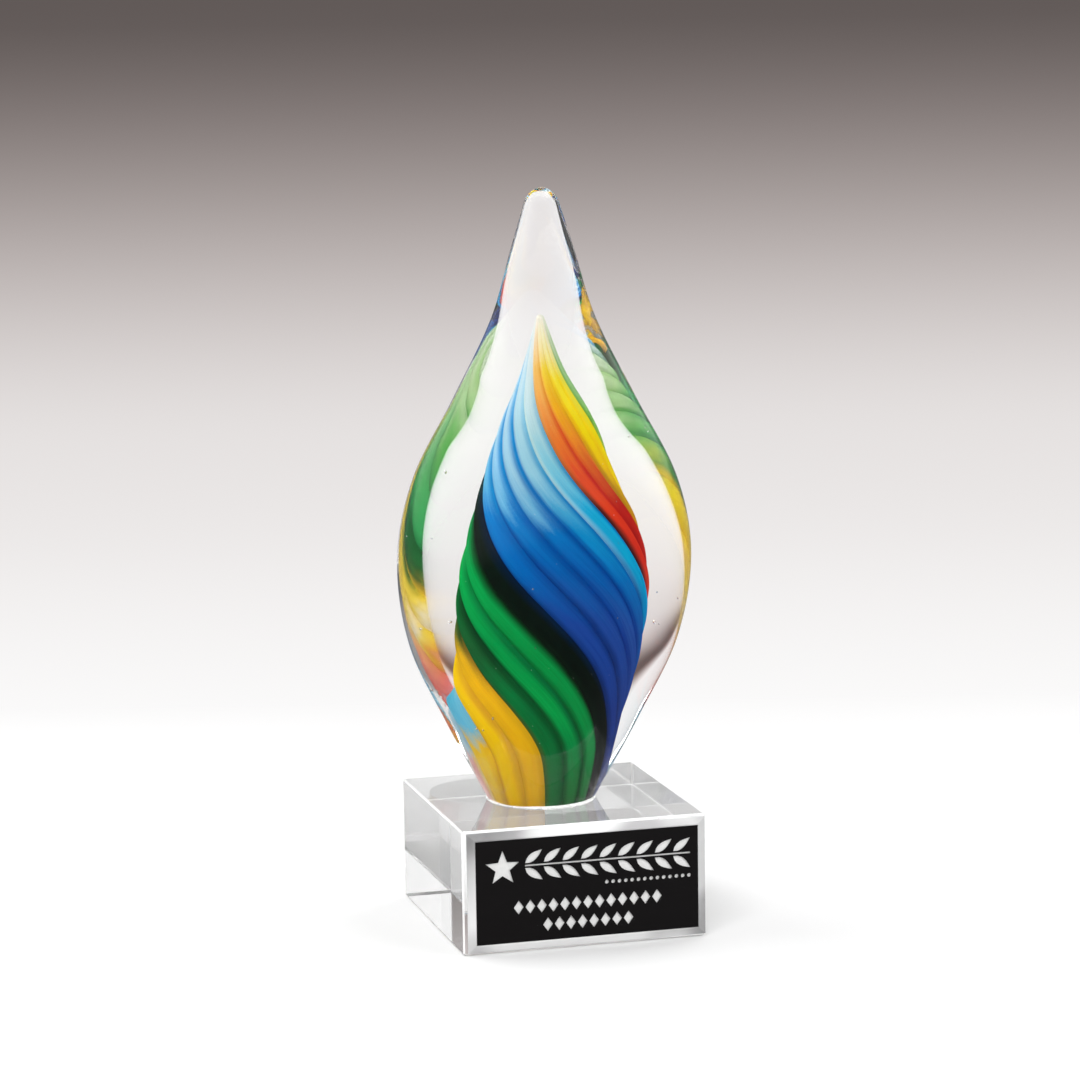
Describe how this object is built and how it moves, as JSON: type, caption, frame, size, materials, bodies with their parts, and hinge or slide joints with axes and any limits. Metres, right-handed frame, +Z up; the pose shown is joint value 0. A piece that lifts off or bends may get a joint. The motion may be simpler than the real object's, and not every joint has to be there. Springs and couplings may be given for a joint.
{
  "type": "crystal award",
  "caption": "Clear glass flame with a twisted rainbow colour core, glued on a clear crystal block with a bevelled silver and black nameplate.",
  "frame": {"origin": "middle of the crystal block's underside", "axes": "+Z up along the flame, -Y towards the viewer of the nameplate, +X to that viewer's right"},
  "size_m": [0.0953, 0.0817, 0.2384],
  "materials": {
    "crystal": "polished clear optical crystal",
    "clear_glue": "clear cured glue, slightly milky",
    "clear_glass": "fire-polished clear blown glass",
    "white_glass": "opaque white glass",
    "green_glass": "dense green glass",
    "dark_green_glass": "dense dark green glass",
    "black_glass": "dense black-green glass",
    "blue_glass": "dense blue glass, paler towards the tip",
    "red_glass": "dense red glass",
    "orange_glass": "dense orange glass",
    "yellow_glass": "dense yellow glass",
    "yellow_green_glass": "dense glass, yellow at the foot turning green above",
    "adhesive": "white double-sided adhesive sheet",
    "silver": "polished bevelled silver plate",
    "black_coat": "satin black engraving panel"
  },
  "bodies": {
    "root": {"crystal_block": "crystal", "foot_glue": "clear_glue", "glass_flame": "clear_glass", "white_gather": "white_glass", "green_cane_1": "green_glass", "green_cane_2": "green_glass", "dark_green_cane_1": "dark_green_glass", "black_cane_1": "black_glass", "blue_cane_1": "blue_glass", "blue_cane_2": "blue_glass", "blue_cane_3": "blue_glass", "blue_cane_4": "blue_glass", "blue_cane_5": "blue_glass", "red_cane_1": "red_glass", "orange_cane_1": "orange_glass", "yellow_cane_1": "yellow_glass", "yellow_cane_2": "yellow_glass", "yellow_green_cane_1": "yellow_green_glass", "yellow_green_cane_2": "yellow_green_glass", "yellow_green_cane_3": "yellow_green_glass", "adhesive_sheet": "adhesive", "silver_plate": "silver", "black_panel": "black_coat"}
  },
  "joints": []
}
